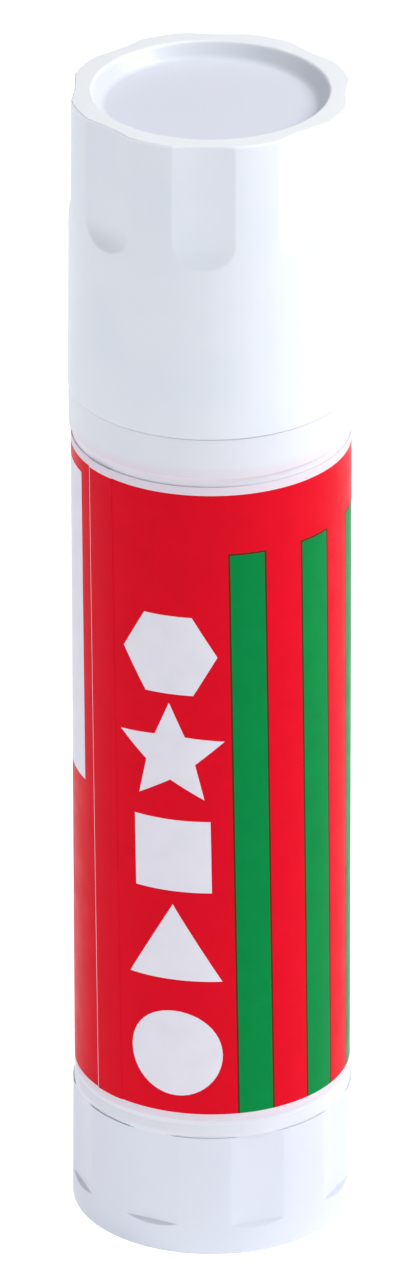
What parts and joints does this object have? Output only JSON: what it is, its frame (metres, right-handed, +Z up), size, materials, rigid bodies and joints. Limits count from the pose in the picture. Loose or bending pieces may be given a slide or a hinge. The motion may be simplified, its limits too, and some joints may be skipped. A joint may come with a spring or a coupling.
{
  "type": "glue stick",
  "caption": "Upright twist-up glue stick: pull-off fluted cap, labelled barrel with a neck, and a fluted winding knob whose lift screw raises the glue.",
  "frame": {"origin": "middle of the ring that the knob stands on", "axes": "+Z up along the stick from the knob to the cap; -Y is the front, where the label's plain panel faces"},
  "size_m": [0.0252, 0.0252, 0.109],
  "materials": {
    "barrel_plastic": "translucent white polypropylene, satin gloss",
    "label_film": "glossy red printed film with green bars and a clear margin",
    "cap_plastic": "translucent white polypropylene, satin gloss",
    "knob_plastic": "translucent white polypropylene, satin gloss",
    "spindle_plastic": "natural white polypropylene",
    "carrier_plastic": "natural white polypropylene",
    "glue": "waxy off-white solid glue"
  },
  "bodies": {
    "barrel_body": {"tube": "barrel_plastic", "label_film": "label_film"},
    "cap_body": {"cap": "cap_plastic"},
    "knob_body": {"knob": "knob_plastic", "spindle": "spindle_plastic"},
    "carrier_body": {"carrier": "carrier_plastic", "glue": "glue"}
  },
  "joints": [
    {"name": "cap_lift", "type": "slide", "parent": "barrel_body", "child": "cap_body", "axis": [0, 0, 1], "range_m": [0, 0.04]},
    {"name": "knob_turn", "type": "hinge", "parent": "barrel_body", "child": "knob_body", "pos_m": [0, 0, 0.005], "axis": [0, 0, 1], "range_deg": [0, 2700]},
    {"name": "carrier_lift", "type": "slide", "parent": "barrel_body", "child": "carrier_body", "axis": [0, 0, 1], "range_m": [0, 0.06375], "deforming": ["glue"]}
  ],
  "couplings": [
    {"joint": "carrier_lift", "follows": "knob_turn", "m_per_rad": 0.0013528}
  ]
}
